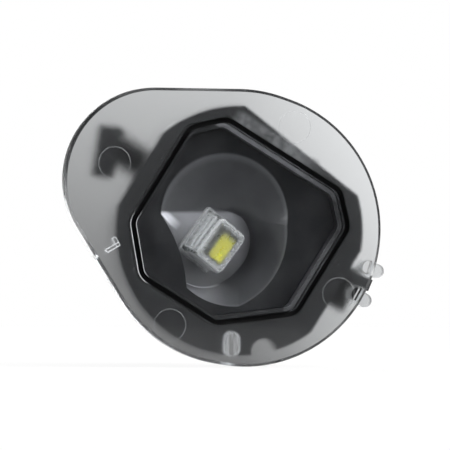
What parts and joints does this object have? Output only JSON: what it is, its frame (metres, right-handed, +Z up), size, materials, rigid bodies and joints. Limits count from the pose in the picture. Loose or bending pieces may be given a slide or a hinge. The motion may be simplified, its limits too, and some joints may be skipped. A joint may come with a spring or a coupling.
{
  "type": "puddle light",
  "caption": "Small car lamp for the underside of a door mirror: rounded clear lens welded to a black cup with a tilted emitter in a bowl reflector, hooks, a snap latch and a rear connector.",
  "frame": {"origin": "middle of the housing's weld line, on the back face of the lens rim, which seats on the mirror", "axes": "+Y runs back into the mirror, square to the lens; +X runs right and +Z up as the lens is looked at"},
  "size_m": [0.0472, 0.0315, 0.0398],
  "materials": {
    "clear_lens": "clear moulded polycarbonate, polished window and frosted rim",
    "black_housing": "black moulded plastic",
    "dark_reflector": "dark moulded plastic, satin",
    "board_mask": "glass-fibre board with green mask",
    "white_mask": "metal-core board with white mask",
    "pale_base": "pale ceramic",
    "yellow_phosphor": "yellow phosphor in silicone",
    "clear_cap": "clear moulded silicone",
    "screw_steel": "zinc-plated steel",
    "chip_black": "black epoxy moulding",
    "resistor_dark": "dark glaze on ceramic with tinned ends",
    "capacitor_tan": "tan ceramic with tinned ends",
    "blade_tin": "tinned brass",
    "lead_copper": "bare copper strip"
  },
  "bodies": {
    "root": {"lens": "clear_lens", "housing": "black_housing", "reflector": "dark_reflector", "led_board": "white_mask", "led_base": "pale_base", "led_phosphor": "yellow_phosphor", "led_cap": "clear_cap", "board_screws": "screw_steel", "driver_board": "board_mask", "regulator": "chip_black", "diode": "chip_black", "resistors": "resistor_dark", "capacitors": "capacitor_tan", "terminal_plus": "blade_tin", "terminal_minus": "blade_tin", "lead_plus": "lead_copper", "lead_minus": "lead_copper"}
  },
  "joints": []
}
